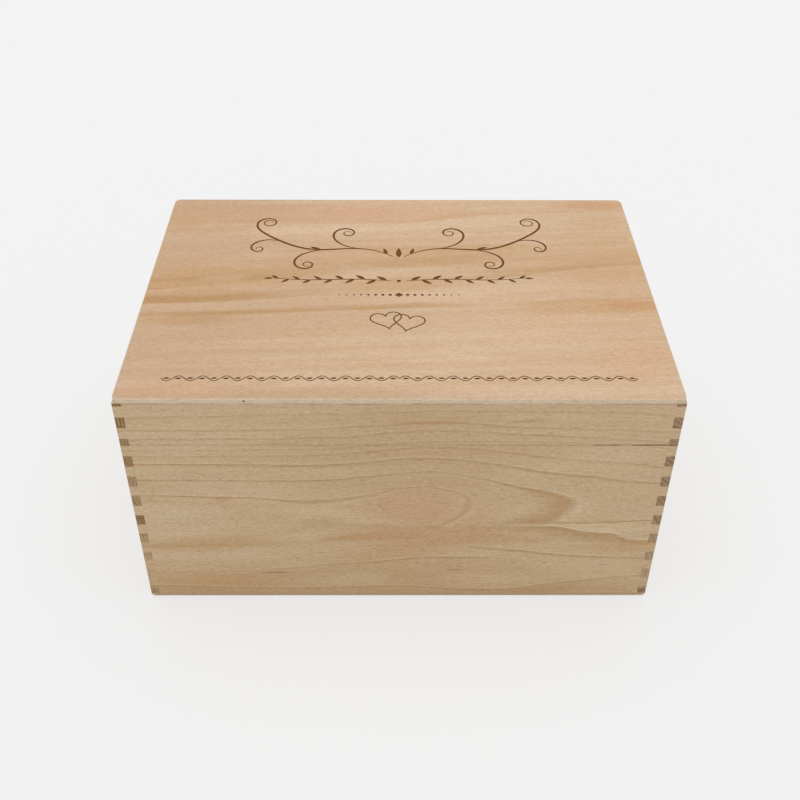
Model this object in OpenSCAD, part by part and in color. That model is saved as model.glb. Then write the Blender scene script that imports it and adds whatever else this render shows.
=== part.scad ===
// Keepsake box in beech with a hinged lid.
// The four walls are comb-jointed at the corners and closed by a thin panel at
// the top and at the bottom. The lid is the upper part of that closed box, sawn
// free, and it swings on two butt hinges screwed to the back.
// Millimetres, +Z up, front face towards -Y, origin at the middle of the base.

/* [Box] */
// Outside width, left to right
box_w = 350; // [260:1:450]
// Outside depth, front to back, without the hinges
box_d = 250; // [180:1:350]
// Outside height with the lid shut
box_h = 180; // [130:1:260]
// Thickness of the four walls
wall_t = 6; // [5:0.5:12]
// Radius of the four upright outside corners of the walls
wall_corner_r = 0.5; // [0.25:0.25:4]

/* [Panels] */
// Thickness of the panel on top of the lid
top_t = 3.5; // [3:0.5:8]
// Thickness of the panel under the case
base_t = 3.5; // [3:0.5:8]
// Radius of the four corners of both panels, seen from above
panel_corner_r = 5; // [3:0.5:8]
// Radius of the rounded outside edge of both panels
edge_r = 1.5; // [0.5:0.25:2.5]

/* [Lid] */
// Height of the lid, with its panel
lid_h = 37; // [28:1:60]
// Width of wood that the saw took when it cut the lid free
saw_kerf = 3.2; // [1.5:0.1:4]
// Hairline left between the lid and the case
seam_gap = 0.2; // [0.1:0.05:0.5]

/* [Comb joints] */
// Height of one finger
finger_h = 8.75; // [6:0.05:14]
// Height of the cut-down side finger just under the top panel
first_finger = 2.3; // [0.5:0.1:5]

/* [Hinges] */
// Distance from the side of the box to the middle of the nearer hinge
hinge_inset = 70; // [40:1:90]
// Length of a hinge along its pin
hinge_len = 38; // [30:1:60]
// Knuckles on a hinge, shared out in turn between its two leaves
knuckle_count = 5; // [3:2:7]
// Height of a leaf, from the pin's axis to its outer edge
leaf_h = 13; // [11:0.5:20]
// Thickness of the leaf's sheet
leaf_t = 1.2; // [0.8:0.1:1.6]
// Radius of the leaf's two outer corners
leaf_corner_r = 2; // [0.5:0.25:3]
// Radius of the pin
pin_r = 1; // [0.8:0.1:1.6]
// Length of pin that stands out at each end, with its dome
pin_end = 1; // [0.5:0.1:2]
// Running clearance round the pin
pin_clear = 0.05; // [0.02:0.01:0.1]
// Gap between two knuckles, end to end
knuckle_gap = 0.3; // [0.2:0.05:0.6]
// Gap between a knuckle and the wood or the leaf across from it
knuckle_clear = 0.3; // [0.2:0.05:0.6]

/* [Screws] */
// Distance between the two screws of a leaf
screw_spacing = 22; // [14:1:26]
// Distance from the pin's axis to the screws
screw_rise = 7.5; // [6:0.25:9]
// Length of a screw, with its head
screw_len = 6; // [4:0.25:7]
// Radius of the screw's shank
shank_r = 1.1; // [0.8:0.1:1.4]
// Radius of the countersunk head
head_r = 2.1; // [1.8:0.1:2.6]
// Thickness of the head's straight rim
head_rim = 0.15; // [0.1:0.05:0.3]
// Length of the pointed tip
tip_len = 1.8; // [1:0.1:2.5]
// Width of the driver's slot
slot_w = 0.6; // [0.4:0.1:0.8]
// Depth of the driver's slot
slot_depth = 0.5; // [0.3:0.05:0.7]
// Clearance round a screw in the leaf and in the wood
screw_clear = 0.05; // [0.02:0.01:0.1]

/* [Hidden] */
$fn = 64;

beech_wall = [0.73, 0.62, 0.48];
beech_side = [0.68, 0.56, 0.42];
beech_panel = [0.82, 0.69, 0.55];
brass = [0.72, 0.56, 0.25];
steel = [0.62, 0.60, 0.56];

// Levels of the lid and the case
lid_bottom_z = box_h - lid_h;
lid_rail_top_z = box_h - top_t;
case_top_z = lid_bottom_z - seam_gap;
// Top of the uncut wall blanks, as the lid's rails and as the case's walls see it:
// the saw kerf separates the two
lid_blank_top_z = lid_rail_top_z;
case_blank_top_z = case_top_z + saw_kerf + lid_rail_top_z - lid_bottom_z;
blank_h = case_blank_top_z - base_t;
finger_count = ceil((blank_h - first_finger) / (2 * finger_h)) + 1;

// Hinge axis, behind the back face and level with the middle of the seam
knuckle_r = pin_r + pin_clear + leaf_t;
axis_back = knuckle_r + knuckle_clear;
axis_y = box_d / 2 + axis_back;
axis_z = lid_bottom_z - seam_gap / 2;
hinge_x = box_w / 2 - hinge_inset;
knuckle_pitch = hinge_len / knuckle_count;
// Cuts and slots reach this far past the faces that they open
overshoot = 1;

// Plan of the four walls

module walls_plan() {
    square([box_w - 2 * wall_corner_r, box_d], center = true);
    square([box_w, box_d - 2 * wall_corner_r], center = true);
    for (sx = [-1, 1], sy = [-1, 1])
        translate([sx * (box_w / 2 - wall_corner_r), sy * (box_d / 2 - wall_corner_r)])
            circle(wall_corner_r);
}

// Squares where two walls cross, at both ends of one wall
module crossings(side) {
    for (sx = [-1, 1])
        translate([sx * (box_w - wall_t) / 2, side * (box_d - wall_t) / 2])
            square(wall_t, center = true);
}

module long_wall_plan(side) {
    intersection() {
        walls_plan();
        translate([0, side * (box_d - wall_t) / 2])
            square([box_w, wall_t], center = true);
    }
}

module short_wall_plan(side) {
    translate([side * (box_w - wall_t) / 2, 0])
        square([wall_t, box_d - 2 * wall_t], center = true);
}

module short_wall_finger_plan(side) {
    intersection() {
        walls_plan();
        for (sy = [-1, 1])
            translate([side * (box_w - wall_t) / 2, sy * (box_d - wall_t) / 2])
                square(wall_t, center = true);
    }
}

// Comb joints: bands of height that belong to the fingers of the side walls

function finger_top_z(k, blank_top_z) =
    blank_top_z - first_finger + finger_h - 2 * finger_h * k;

function side_finger_bands(low_z, high_z, blank_top_z) = [
    for (k = [0:finger_count])
        let (top = min(finger_top_z(k, blank_top_z), high_z))
        let (bottom = max(finger_top_z(k, blank_top_z) - finger_h, low_z))
        if (top > bottom) [bottom, top]
];

// Front or back board, notched at both ends for the side fingers
module long_board(side, low_z, high_z, blank_top_z) {
    difference() {
        translate([0, 0, low_z])
            linear_extrude(high_z - low_z)
                long_wall_plan(side);
        for (band = side_finger_bands(low_z - overshoot, high_z + overshoot, blank_top_z))
            translate([0, 0, band[0]])
                linear_extrude(band[1] - band[0])
                    crossings(side);
    }
}

// Left or right board, with fingers that reach through the long boards
module short_board(side, low_z, high_z, blank_top_z) {
    translate([0, 0, low_z])
        linear_extrude(high_z - low_z)
            short_wall_plan(side);
    for (band = side_finger_bands(low_z, high_z, blank_top_z))
        translate([0, 0, band[0]])
            linear_extrude(band[1] - band[0])
                short_wall_finger_plan(side);
}

// Panel over the walls, with round corners and its upper outside edge rounded

module edge_profile(thickness) {
    square([panel_corner_r, thickness - edge_r]);
    square([panel_corner_r - edge_r, thickness]);
    translate([panel_corner_r - edge_r, thickness - edge_r])
        intersection() {
            circle(edge_r);
            square(edge_r);
        }
}

module edge_strip(length, thickness) {
    rotate([90, 0, 0])
        linear_extrude(length, center = true)
            edge_profile(thickness);
}

module rounded_panel(thickness) {
    inner_w = box_w - 2 * panel_corner_r;
    inner_d = box_d - 2 * panel_corner_r;
    translate([0, 0, thickness / 2])
        cube([inner_w, inner_d, thickness], center = true);
    for (turn = [0, 180])
        rotate([0, 0, turn]) {
            translate([inner_w / 2, 0, 0])
                edge_strip(inner_d, thickness);
            translate([0, inner_d / 2, 0])
                rotate([0, 0, 90])
                    edge_strip(inner_w, thickness);
            translate([inner_w / 2, inner_d / 2, 0])
                rotate_extrude(angle = 90)
                    edge_profile(thickness);
            translate([-inner_w / 2, inner_d / 2, 0])
                rotate([0, 0, 90])
                    rotate_extrude(angle = 90)
                        edge_profile(thickness);
        }
}

// Hinge, drawn with its axis along X at the origin and its wood face at -Y.
// The lid's leaf rises from the axis and the case's leaf is its mirror image.

module screw_solid(clearance) {
    reach = head_r - shank_r;
    rotate_extrude()
        polygon([
            [0, 0],
            [head_r + clearance, 0],
            [head_r + clearance, head_rim],
            [shank_r + clearance, head_rim + reach],
            [shank_r + clearance, screw_len - tip_len],
            [0, screw_len]
        ]);
}

// Places children on the two screws of a leaf, pointing into the wood
module at_screws() {
    for (sx = [-1, 1])
        translate([sx * screw_spacing / 2, leaf_t - axis_back, screw_rise])
            rotate([90, 0, 0])
                children();
}

module screw_holes() {
    at_screws() {
        screw_solid(screw_clear);
        translate([0, 0, -overshoot])
            cylinder(r = head_r + screw_clear, h = overshoot);
    }
}

module screws() {
    at_screws()
        difference() {
            screw_solid(0);
            translate([0, 0, slot_depth / 2 - overshoot / 2])
                cube([2 * head_r + overshoot, slot_w, slot_depth + overshoot], center = true);
        }
}

module leaf_outline() {
    straight_h = leaf_h - leaf_corner_r;
    translate([-hinge_len / 2, 0])
        square([hinge_len, straight_h]);
    translate([-hinge_len / 2 + leaf_corner_r, 0])
        square([hinge_len - 2 * leaf_corner_r, leaf_h]);
    for (sx = [-1, 1])
        translate([sx * (hinge_len / 2 - leaf_corner_r), straight_h])
            circle(leaf_corner_r);
}

// A stretch of the hinge's length, from a knuckle's middle outwards
module along_knuckle(k) {
    translate([-hinge_len / 2 + (k + 0.5) * knuckle_pitch, 0, 0])
        children();
}

module leaf(first_knuckle) {
    notch = knuckle_r + knuckle_clear;
    difference() {
        union() {
            translate([0, leaf_t - axis_back, 0])
                rotate([90, 0, 0])
                    linear_extrude(leaf_t)
                        leaf_outline();
            for (k = [first_knuckle:2:knuckle_count - 1])
                along_knuckle(k)
                    rotate([0, 90, 0])
                        cylinder(r = knuckle_r, h = knuckle_pitch - knuckle_gap, center = true);
        }
        for (k = [1 - first_knuckle:2:knuckle_count - 1])
            along_knuckle(k)
                cube([knuckle_pitch + knuckle_gap, 2 * axis_back + overshoot, 2 * notch], center = true);
        rotate([0, 90, 0])
            cylinder(r = pin_r + pin_clear, h = hinge_len + overshoot, center = true);
        screw_holes();
    }
}

module pin() {
    straight_len = hinge_len + 2 * (pin_end - pin_r);
    rotate([0, 90, 0])
        cylinder(r = pin_r, h = straight_len, center = true);
    for (sx = [-1, 1])
        translate([sx * straight_len / 2, 0, 0])
            sphere(pin_r);
}

// Places children on one hinge of the closed box
module at_hinge(side) {
    translate([side * hinge_x, axis_y, axis_z])
        children();
}

module lid_leaf(side) {
    color(brass) at_hinge(side) leaf(1);
}

module case_leaf(side) {
    color(brass) at_hinge(side) mirror([0, 0, 1]) leaf(0);
}

module hinge_pin(side) {
    color(steel) at_hinge(side) pin();
}

module lid_screws(side) {
    color(brass) at_hinge(side) screws();
}

module case_screws(side) {
    color(brass) at_hinge(side) mirror([0, 0, 1]) screws();
}

// Lid

module lid_top_panel() {
    color(beech_panel)
        translate([0, 0, lid_rail_top_z])
            rounded_panel(top_t);
}

module lid_front_rail() {
    color(beech_wall)
        long_board(-1, lid_bottom_z, lid_rail_top_z, lid_blank_top_z);
}

module lid_back_rail() {
    color(beech_wall)
        difference() {
            long_board(1, lid_bottom_z, lid_rail_top_z, lid_blank_top_z);
            for (side = [-1, 1])
                at_hinge(side) screw_holes();
        }
}

module lid_side_rail(side) {
    color(beech_side)
        short_board(side, lid_bottom_z, lid_rail_top_z, lid_blank_top_z);
}

// Case

module front_wall() {
    color(beech_wall)
        long_board(-1, base_t, case_top_z, case_blank_top_z);
}

module back_wall() {
    color(beech_wall)
        difference() {
            long_board(1, base_t, case_top_z, case_blank_top_z);
            for (side = [-1, 1])
                at_hinge(side) mirror([0, 0, 1]) screw_holes();
        }
}

module side_wall(side) {
    color(beech_side)
        short_board(side, base_t, case_top_z, case_blank_top_z);
}

module bottom_panel() {
    color(beech_panel)
        translate([0, 0, base_t])
            mirror([0, 0, 1])
                rounded_panel(base_t);
}

lid_top_panel();
lid_front_rail();
lid_back_rail();
lid_side_rail(-1);  // lid_left_rail
lid_side_rail(1);  // lid_right_rail
front_wall();
back_wall();
side_wall(-1);  // left_wall
side_wall(1);  // right_wall
bottom_panel();
lid_leaf(-1);  // left_hinge_lid_leaf
case_leaf(-1);  // left_hinge_case_leaf
hinge_pin(-1);  // left_hinge_pin
lid_screws(-1);  // left_hinge_lid_screws
case_screws(-1);  // left_hinge_case_screws
lid_leaf(1);  // right_hinge_lid_leaf
case_leaf(1);  // right_hinge_case_leaf
hinge_pin(1);  // right_hinge_pin
lid_screws(1);  // right_hinge_lid_screws
case_screws(1);  // right_hinge_case_screws
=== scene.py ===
"""Beech keepsake box: engraved lid, wood and brass finishes, floor, light and camera.

Lengths are in mm, and MM turns them into metres. Places read from the frame are in metres.
"""
import math
from collections import namedtuple

import bpy
from mathutils import Matrix, Vector
from mathutils.geometry import delaunay_2d_cdt


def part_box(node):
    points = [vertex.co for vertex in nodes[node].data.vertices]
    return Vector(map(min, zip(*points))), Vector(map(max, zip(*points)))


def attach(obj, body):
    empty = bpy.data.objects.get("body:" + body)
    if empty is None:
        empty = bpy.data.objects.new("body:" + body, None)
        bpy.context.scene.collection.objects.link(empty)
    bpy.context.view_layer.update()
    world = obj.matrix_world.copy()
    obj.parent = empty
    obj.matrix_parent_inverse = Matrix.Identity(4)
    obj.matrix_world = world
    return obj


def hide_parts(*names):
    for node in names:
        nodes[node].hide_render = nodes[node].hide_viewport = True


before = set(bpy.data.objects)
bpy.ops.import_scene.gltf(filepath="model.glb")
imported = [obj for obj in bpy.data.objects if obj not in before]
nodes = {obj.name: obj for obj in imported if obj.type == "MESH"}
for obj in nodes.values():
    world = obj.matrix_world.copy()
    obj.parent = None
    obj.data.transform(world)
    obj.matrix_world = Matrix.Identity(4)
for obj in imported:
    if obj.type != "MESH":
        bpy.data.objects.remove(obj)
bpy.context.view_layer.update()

MM = 0.001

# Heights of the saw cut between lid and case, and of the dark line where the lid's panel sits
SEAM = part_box("lid_front_rail")[0].z
PANEL_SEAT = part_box("lid_top_panel")[0].z

# Half widths of the painted shade in the seam between lid and case and of the dark line where
# the lid's panel sits on its rails, and how far the panel's line shows
SEAM_SHADE_LINE = 0.6
PANEL_SEAT_LINE = 0.7
PANEL_SEAT_LINE_STRENGTH = 0.6

# Both panels: the rounding of their edge, the steps round a corner, and the angle in degrees
# from which two faces meet in a crisp edge
EDGE_R = 1.5
CORNER_STEPS = 8
CRISP_ANGLE = 32

# Lid panel: its corners, the steps of its rounded edge and the depth of its engraving
LID_CORNER_R = 5.0
LID_EDGE_STEPS = 6
GROOVE_DEPTH = 0.45

# Small knot in the lid panel's front edge: its place along it, its height over the glue line
# and its radius
KNOT_ALONG = -94.5
KNOT_RISE = 1.8
KNOT_R = 0.9

# Bottom panel: nearly sharp corners under the walls, sanded rounder towards the floor
SEAT_CORNER_R = 0.5
FOOT_CORNER_R = 7.0
FOOT_STEPS = 10

# Hinges: the broken edges of leaves and screws, the angle in degrees from which an edge is
# broken, and the gap up to which the faces of a solid are joined before that
LEAF_EDGE = 0.22
SCREW_EDGE = 0.12
BROKEN_ANGLE = 35
JOINED_GAP = 0.01

# Relief of the wood's fibre, of the burnt grooves and of the brushed metal
FIBRE_RELIEF = 0.06
CHAR_RELIEF = 0.08
BRUSH_RELIEF = 0.012

# Camera, fitted to the corners and the comb joints of the photographed box: its place in
# metres, its angles in degrees, its lens and sensor in mm
CAMERA_PLACE = (-0.0037, -0.6281, 0.5872)
CAMERA_PITCH = 39.03
CAMERA_YAW = 0.444
CAMERA_ROLL = 0.307
CAMERA_LENS = 48.145
CAMERA_SENSOR = 36.0

# Light: an even sky and one broad lamp high up, a little to the front, with angles in degrees
SKY_LEVEL = 0.58
LAMP_LEVEL = 1.38
LAMP_SPREAD = 80.0
LAMP_HEIGHT = 86.0

# Floor and backdrop: their colour, how far a shadow shows on it, and the floor's half width and
# level in metres
BACKDROP = (242, 242, 242)
FLOOR_SHADOW = 0.30
FLOOR_HALF = 12.0
FLOOR_LEVEL = -0.0002


def srgb(red, green, blue):
    """Linear colour from 8-bit screen values."""
    def linear(value):
        share = value / 255
        return share / 12.92 if share <= 0.04045 else ((share + 0.055) / 1.055) ** 2.4
    return (linear(red), linear(green), linear(blue), 1.0)


# Shader nodes

class Wiring:
    """Adds and links the shader nodes of one node tree."""

    def __init__(self, tree):
        self.tree = tree

    def feed(self, socket, value):
        if isinstance(value, bpy.types.NodeSocket):
            self.tree.links.new(value, socket)
        else:
            socket.default_value = value

    def add(self, kind, inputs=None, **settings):
        node = self.tree.nodes.new(kind)
        for name, value in settings.items():
            setattr(node, name, value)
        for key, value in (inputs or {}).items():
            self.feed(node.inputs[key], value)
        return node

    def calc(self, operation, *values):
        node = self.add("ShaderNodeMath", dict(enumerate(values)), operation=operation)
        return node.outputs[0]

    def flip(self, mask):
        """1 where the mask is 0, and 0 where it is 1."""
        return self.calc("SUBTRACT", 1.0, mask)

    def vector(self, operation, *values):
        node = self.add("ShaderNodeVectorMath", dict(enumerate(values)), operation=operation)
        return node.outputs[0]

    def parts(self, vector):
        return self.add("ShaderNodeSeparateXYZ", {0: vector}).outputs

    def joined(self, x, y, z):
        return self.add("ShaderNodeCombineXYZ", {0: x, 1: y, 2: z}).outputs[0]

    def ease(self, value, low, high):
        """0 up to low, 1 from high on, and smooth between them."""
        inputs = {"Value": value, "From Min": low, "From Max": high}
        return self.add("ShaderNodeMapRange", inputs, interpolation_type="SMOOTHSTEP").outputs[0]

    def spread(self, value, low, high):
        """0 to 1 stretched to low to high."""
        inputs = {"Value": value, "To Min": low, "To Max": high}
        return self.add("ShaderNodeMapRange", inputs).outputs[0]

    def mix(self, factor, first, second, blend_type="MIX"):
        """Two colours blended, through the mix node's sockets 6, 7 and 2, which are its colours."""
        node = self.add("ShaderNodeMix", data_type="RGBA", blend_type=blend_type)
        self.feed(node.inputs["Factor"], factor)
        self.feed(node.inputs[6], first)
        self.feed(node.inputs[7], second)
        return node.outputs[2]

    def noise(self, place, stretch, detail=2.0, roughness=0.5):
        """Noise with so many waves to the metre along each axis."""
        inputs = {"Vector": self.vector("MULTIPLY", place, stretch), "Scale": 1.0}
        inputs.update({"Detail": detail, "Roughness": roughness})
        return self.add("ShaderNodeTexNoise", inputs).outputs

    def effect(self, group, **values):
        node = self.add("ShaderNodeGroup", node_tree=group)
        for name, value in values.items():
            self.feed(node.inputs[name], value)
        return node.outputs


# Sockets of the shared effects that hold more than one value
SOCKET_KINDS = {
    "place": "NodeSocketVector", "breadth": "NodeSocketVector", "fineness": "NodeSocketVector",
    "brush": "NodeSocketVector", "shade": "NodeSocketColor"}


def new_effect(name, inputs, outputs):
    """An empty node group with the sockets named in inputs and outputs: its wiring and both ends."""
    tree = bpy.data.node_groups.new(name, "ShaderNodeTree")
    for in_out, sockets in (("INPUT", inputs), ("OUTPUT", outputs)):
        for socket in sockets.split():
            kind = SOCKET_KINDS.get(socket, "NodeSocketFloat")
            tree.interface.new_socket(socket, in_out=in_out, socket_type=kind)
    wiring = Wiring(tree)
    start = wiring.add("NodeGroupInput")
    end = wiring.add("NodeGroupOutput")
    return wiring, start.outputs, end.inputs


def growth_rings():
    """Distance from a pith that runs along the board, and the yearly rings round it.

    place is (along, across, through) the board in metres. Below the pith the rings are
    drawn out to 1 / lower_share of their height. Each ring darkens slowly towards its
    late wood and pales again over ring_edge, a share of its width.
    """
    w, given, out = new_effect(
        "growth_rings",
        "place pith_depth pith_rise lower_share ring_width first_ring ring_edge ring_dusk evenness wander",
        "reach late_wood")
    _, across, through = w.parts(given["place"])
    drift = w.noise(given["place"], (7.0, 22.0, 22.0), 3.0)["Color"]
    drift = w.parts(w.vector("SUBTRACT", drift, (0.5, 0.5, 0.5)))
    depth = w.calc("ADD", through, given["pith_depth"])
    depth = w.calc("MULTIPLY_ADD", drift[0], given["wander"], depth)
    rise = w.calc("SUBTRACT", across, given["pith_rise"])
    rise = w.calc("MULTIPLY_ADD", drift[1], given["wander"], rise)
    rise = w.calc("MAXIMUM", rise, w.calc("MULTIPLY", rise, given["lower_share"]))
    reach = w.calc("SQRT", w.calc("MULTIPLY_ADD", depth, depth, w.calc("MULTIPLY", rise, rise)))
    rings = w.calc("ADD", w.calc("DIVIDE", reach, given["ring_width"]), given["first_ring"])
    part = w.calc("FRACT", rings)
    count = w.calc("FLOOR", rings)
    tone = w.add("ShaderNodeTexWhiteNoise", {"W": count}, noise_dimensions="1D").outputs[0]
    edge = w.flip(given["ring_edge"])
    dusk = w.calc("POWER", w.ease(part, 0.1, edge), given["ring_dusk"])
    late = w.calc("MULTIPLY", dusk, w.flip(w.ease(part, edge, 1.0)))
    strength = w.calc("MAXIMUM", given["evenness"], tone)
    w.feed(out["reach"], reach)
    w.feed(out["late_wood"], w.calc("MULTIPLY", late, strength))
    return w.tree


def ring_line():
    """One ring's late wood: darkest at its level, fading over its own widths on both sides.

    light is the pale early wood that starts beside the sharper side.
    """
    w, given, out = new_effect("ring_line", "place height level above below waver", "dark light")
    waver = w.calc("SUBTRACT", w.noise(given["place"], (40.0, 90.0, 90.0), 5.0, 0.7)[0], 0.5)
    away = w.calc("SUBTRACT", given["height"], given["level"])
    away = w.calc("MULTIPLY_ADD", waver, given["waver"], away)
    upper = w.calc("DIVIDE", away, given["above"])
    lower = w.calc("DIVIDE", away, w.calc("MULTIPLY", given["below"], -1.0))
    dark = w.flip(w.ease(w.calc("MAXIMUM", upper, lower), 0.25, 1.0))
    uneven = w.noise(given["place"], (14.0, 60.0, 60.0), 3.0)[0]
    dark = w.calc("MULTIPLY", dark, w.spread(uneven, 0.1, 1.7))
    sharp = w.calc("MULTIPLY", w.calc("MINIMUM", given["above"], given["below"]), 5.0)
    near = w.flip(w.ease(w.calc("DIVIDE", w.calc("ABSOLUTE", away), sharp), 0.2, 1.0))
    w.feed(out["dark"], dark)
    w.feed(out["light"], w.calc("MULTIPLY", near, w.flip(dark)))
    return w.tree


def wood_patch():
    """A soft patch in the wood, drawn out along the grain and feathered by it."""
    w, given, out = new_effect("wood_patch", "place side up half_length half_height lean", "mask")
    feather = w.calc("SUBTRACT", w.noise(given["place"], (18.0, 170.0, 170.0), 4.0, 0.6)[0], 0.5)
    up = w.calc("SUBTRACT", given["up"], w.calc("MULTIPLY", given["side"], given["lean"]))
    side = w.calc("DIVIDE", given["side"], given["half_length"])
    up = w.calc("DIVIDE", up, given["half_height"])
    away = w.calc("SQRT", w.calc("MULTIPLY_ADD", side, side, w.calc("MULTIPLY", up, up)))
    away = w.calc("MULTIPLY_ADD", feather, 1.3, away)
    w.feed(out["mask"], w.flip(w.ease(away, 0.25, 1.15)))
    return w.tree


def wood_fibre():
    """Plain wood along a board: streaks and blushes, short dark rays, fine fibre and its relief.

    breadth and fineness scale the broad figure and the fine fibre along the board, across
    and through it. streaks and broken are strengths that break up a line of the figure.
    """
    w, given, out = new_effect(
        "wood_fibre", "place breadth fineness",
        "deep blush streaks broken ray_fleck fibre_fleck shade roughness height")
    broad = w.vector("MULTIPLY", given["place"], given["breadth"])
    fine = w.vector("MULTIPLY", given["place"], given["fineness"])
    streak = w.noise(broad, (3.0, 85.0, 85.0), 4.0, 0.6)[0]
    blush = w.noise(broad, (8.0, 24.0, 24.0), 3.0, 0.6)[0]
    crowd = w.noise(broad, (22.0, 90.0, 90.0), 3.0)[0]
    rays = w.noise(fine, (330.0, 1400.0, 1000.0), 1.0)[0]
    rays = w.ease(w.calc("MULTIPLY_ADD", crowd, 0.24, rays), 0.70, 0.88)
    fibre = w.noise(fine, (75.0, 950.0, 950.0), 3.0, 0.6)[0]
    dash = w.noise(fine, (210.0, 820.0, 820.0), 3.0, 0.65)[0]
    dull, bright = (0.86, 0.84, 0.78, 1.0), (1.10, 1.115, 1.155, 1.0)
    w.feed(out["deep"], w.ease(streak, 0.35, 0.68))
    w.feed(out["blush"], w.calc("MULTIPLY", w.ease(blush, 0.42, 0.72), 0.8))
    w.feed(out["streaks"], w.spread(w.ease(streak, 0.32, 0.68), 0.3, 1.6))
    w.feed(out["broken"], w.calc("ADD", w.spread(dash, 0.0, 0.9), w.spread(fibre, -0.2, 1.3)))
    w.feed(out["ray_fleck"], rays)
    w.feed(out["fibre_fleck"], w.ease(fibre, 0.54, 0.70))
    w.feed(out["shade"], w.mix(w.ease(dash, 0.25, 0.75), dull, bright))
    w.feed(out["roughness"], w.calc("MULTIPLY_ADD", fibre, 0.16, 0.52))
    w.feed(out["height"], w.calc("MULTIPLY_ADD", rays, -0.5, fibre))
    return w.tree


def end_grain():
    """Where a board is cut across its length, and how dark the cut drank the finish."""
    w, given, out = new_effect("end_grain", "place cut late_wood thirst", "mask darkness")
    pores = w.noise(given["place"], (250.0, 2200.0, 2200.0), 2.0)[0]
    patch = w.noise(given["place"], (20.0, 75.0, 120.0), 2.0)[0]
    dark = w.calc("MULTIPLY_ADD", given["late_wood"], 0.5, w.spread(pores, 0.15, 0.5))
    dark = w.calc("ADD", dark, w.spread(patch, 0.1, 0.5))
    w.feed(out["mask"], w.ease(given["cut"], 0.55, 0.85))
    w.feed(out["darkness"], w.calc("MINIMUM", w.calc("MULTIPLY", dark, given["thirst"]), 1.0))
    return w.tree


def hairline():
    """A thin dark line at one height, broken along the board: painted shade in a seam, and the line under
    a panel.
    """
    w, given, out = new_effect("hairline", "place height level half_width", "mask")
    away = w.calc("ABSOLUTE", w.calc("SUBTRACT", given["height"], given["level"]))
    line = w.flip(w.ease(w.calc("DIVIDE", away, given["half_width"]), 0.3, 1.0))
    broken = w.ease(w.noise(given["place"], (45.0, 45.0, 45.0), 3.0)[0], 0.38, 0.6)
    w.feed(out["mask"], w.calc("MULTIPLY", line, broken))
    return w.tree


def sawn_edge():
    """The level edges of a wall, and the marks that the saw left across them."""
    w, given, out = new_effect("sawn_edge", "place flat", "rim marks")
    rim = w.ease(given["flat"], 0.7, 0.95)
    marks = w.ease(w.noise(given["place"], (700.0, 60.0, 60.0), 3.0, 0.7)[0], 0.45, 0.75)
    w.feed(out["rim"], rim)
    w.feed(out["marks"], w.calc("MULTIPLY", rim, marks))
    return w.tree


def sanded_edge():
    """The rounded edge of a panel, and the narrow faces round it, whose tint on the lid is partly painted
    highlight.
    """
    w, given, out = new_effect("sanded_edge", "facing", "rounding side")
    w.feed(out["rounding"], w.calc("MULTIPLY", w.flip(w.ease(given["facing"], 0.8, 0.99)), 0.8))
    w.feed(out["side"], w.flip(w.ease(given["facing"], 0.3, 0.7)))
    return w.tree


def brushed_metal():
    """Tarnish, specks, brush marks and slow waves in sheet, turned or drawn metal."""
    w, given, out = new_effect("brushed_metal", "place brush plain_roughness", "dulled roughness height")
    tarnish = w.noise(given["place"], (120.0, 120.0, 120.0), 5.0, 0.6)[0]
    specks = w.noise(given["place"], (1400.0, 1400.0, 1400.0), 2.0)[0]
    scratches = w.noise(given["place"], given["brush"], 3.0, 0.6)[0]
    waves = w.noise(given["place"], (260.0, 260.0, 260.0), 1.0)[0]
    dulled = w.calc("MULTIPLY_ADD", w.ease(tarnish, 0.42, 0.72), 0.7, w.spread(specks, -0.1, 0.3))
    brushed = w.calc("ADD", given["plain_roughness"], w.spread(scratches, -0.1, 0.1))
    w.feed(out["dulled"], w.calc("MAXIMUM", dulled, 0.0))
    w.feed(out["roughness"], w.calc("MULTIPLY_ADD", tarnish, 0.25, brushed))
    w.feed(out["height"], w.calc("MULTIPLY_ADD", waves, 3.0, scratches))
    return w.tree


RINGS = growth_rings()
RING_LINE = ring_line()
PATCH = wood_patch()
FIBRE = wood_fibre()
END_GRAIN = end_grain()
HAIRLINE = hairline()
SAWN_EDGE = sawn_edge()
SANDED_EDGE = sanded_edge()
BRUSHED_METAL = brushed_metal()


# Wood

def new_material(name):
    material = bpy.data.materials.new(name)
    material.use_nodes = True
    material.node_tree.nodes.clear()
    return material, Wiring(material.node_tree)


def finish(w, inputs, height, relief):
    """The material's own shader, with its normal taken from a height that is so many mm deep."""
    bump = w.add("ShaderNodeBump", {"Height": height, "Strength": 1.0, "Distance": relief * MM})
    shader = w.add("ShaderNodeBsdfPrincipled", dict(inputs, Normal=bump.outputs[0]))
    w.add("ShaderNodeOutputMaterial", {"Surface": shader.outputs[0]})


# The box's axes along, across and through each kind of board
X, Y, Z = 0, 1, 2
LONG_BOARD = (X, Z, Y)
SIDE_BOARD = (Y, Z, X)
PANEL = (X, Y, Z)

# A value that runs through given (place in mm, value) points along or across a board
Along = namedtuple("Along", "points")
Across = namedtuple("Across", "points")


def metres(length):
    """A length in mm, plain or drawn, turned into metres."""
    if isinstance(length, (Along, Across)):
        return type(length)([(where, value * MM) for where, value in length.points])
    return length * MM


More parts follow.
